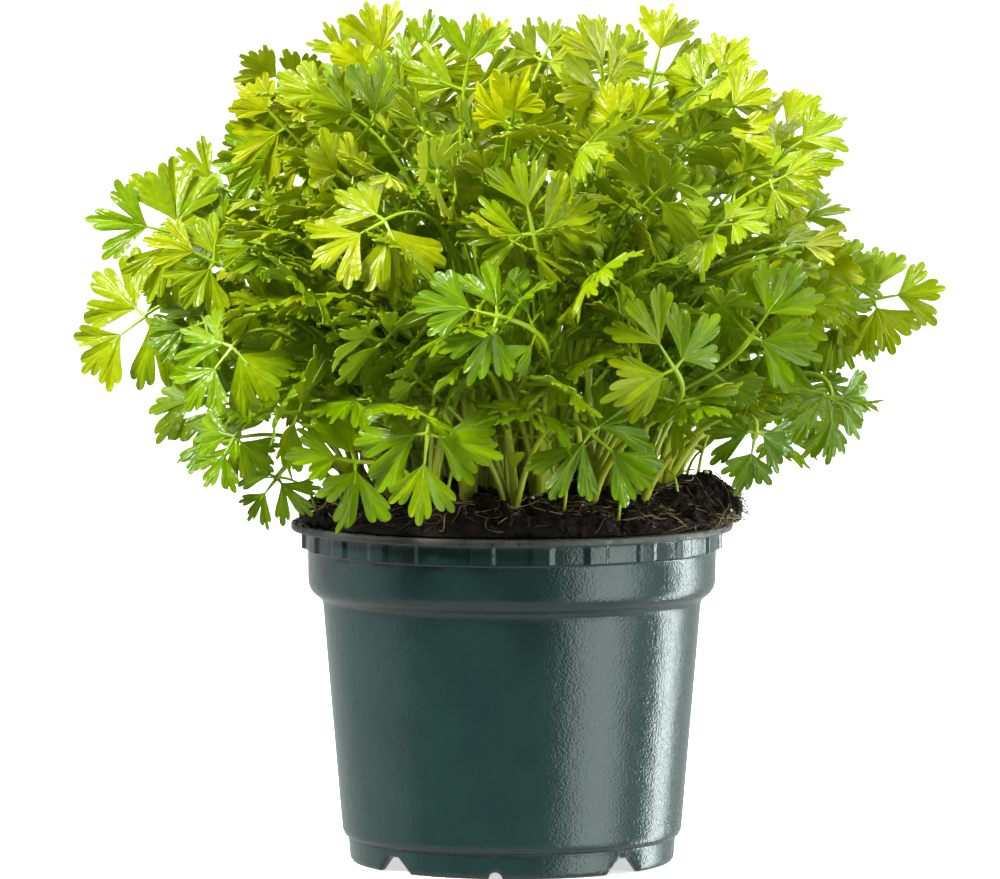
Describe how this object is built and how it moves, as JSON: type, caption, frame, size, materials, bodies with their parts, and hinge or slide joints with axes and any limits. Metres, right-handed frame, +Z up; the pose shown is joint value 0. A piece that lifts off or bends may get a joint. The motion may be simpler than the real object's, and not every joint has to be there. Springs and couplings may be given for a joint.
{
  "type": "potted parsley",
  "caption": "Flat-leaf parsley growing densely in moist peat in a round tapered nursery pot with a ribbed rim and notched feet.",
  "frame": {"origin": "bottom centre of the pot, on the surface it stands on, under the pot's axis", "axes": "+Z up along the pot's axis; -Y is the front that the picture shows, +X to the right as seen from the front"},
  "size_m": [0.2554, 0.2132, 0.2529],
  "materials": {
    "pot_plastic": "satin injection-moulded polypropylene, very dark green, fine grain, dusty rim",
    "peat": "moist dark brown peat, crumbly, with fine fibres",
    "parsley_green": "fresh leaf, yellow-green, waxy sheen above, paler stalks and veins"
  },
  "bodies": {
    "root": {"parsley_01": "parsley_green", "parsley_02": "parsley_green", "parsley_03": "parsley_green", "parsley_04": "parsley_green", "parsley_05": "parsley_green", "parsley_06": "parsley_green", "parsley_07": "parsley_green", "parsley_08": "parsley_green", "parsley_09": "parsley_green", "parsley_10": "parsley_green", "parsley_11": "parsley_green", "parsley_12": "parsley_green", "parsley_13": "parsley_green", "parsley_14": "parsley_green", "parsley_15": "parsley_green", "parsley_16": "parsley_green", "parsley_17": "parsley_green", "parsley_18": "parsley_green", "parsley_19": "parsley_green", "parsley_20": "parsley_green", "parsley_21": "parsley_green", "parsley_22": "parsley_green", "parsley_23": "parsley_green", "parsley_24": "parsley_green", "parsley_25": "parsley_green", "parsley_26": "parsley_green", "parsley_27": "parsley_green", "parsley_28": "parsley_green", "parsley_29": "parsley_green", "parsley_30": "parsley_green", "parsley_31": "parsley_green", "parsley_32": "parsley_green", "parsley_33": "parsley_green", "parsley_34": "parsley_green", "parsley_35": "parsley_green", "parsley_36": "parsley_green", "parsley_37": "parsley_green", "parsley_38": "parsley_green", "parsley_39": "parsley_green", "parsley_40": "parsley_green", "parsley_41": "parsley_green", "parsley_42": "parsley_green", "parsley_43": "parsley_green", "peat": "peat", "pot": "pot_plastic"}
  },
  "joints": []
}
